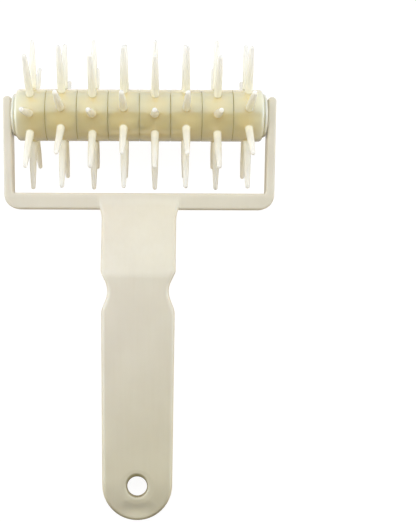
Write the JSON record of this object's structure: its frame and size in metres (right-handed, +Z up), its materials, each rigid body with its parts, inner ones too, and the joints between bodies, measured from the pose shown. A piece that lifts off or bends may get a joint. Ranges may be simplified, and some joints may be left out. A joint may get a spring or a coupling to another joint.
{
  "type": "dough docker",
  "caption": "Hand roller with staggered rows of spikes that turns in a plastic yoke on a flat raised handle, for piercing dough before baking.",
  "frame": {"origin": "on the table, at the middle of the whole tool's box, as it lies face up on its spikes and the end of the grip", "axes": "+X along the roller to the right, +Y from the handle's end towards the roller, +Z up out of the face; the yoke and grip lean by the lying angle about X"},
  "size_m": [0.12, 0.2036, 0.0651],
  "materials": {
    "yoke_plastic": "satin ivory moulded plastic",
    "ring_plastic": "slightly translucent natural plastic, soft gloss",
    "fitting_plastic": "slightly translucent natural plastic, soft gloss"
  },
  "bodies": {
    "frame": {"yoke_handle": "yoke_plastic"},
    "roller": {"spindle": "fitting_plastic", "end_cap_left": "fitting_plastic", "end_cap_right": "fitting_plastic", "spiked_ring_1": "ring_plastic", "spiked_ring_2": "ring_plastic", "spiked_ring_3": "ring_plastic", "spiked_ring_4": "ring_plastic", "spiked_ring_5": "ring_plastic", "spiked_ring_6": "ring_plastic", "spiked_ring_7": "ring_plastic", "spiked_ring_8": "ring_plastic"}
  },
  "joints": [
    {"name": "roller_spin", "type": "hinge", "parent": "frame", "child": "roller", "pos_m": [0, 0.06937, 0.0327], "axis": [1, 0, 0], "continuous": true}
  ]
}
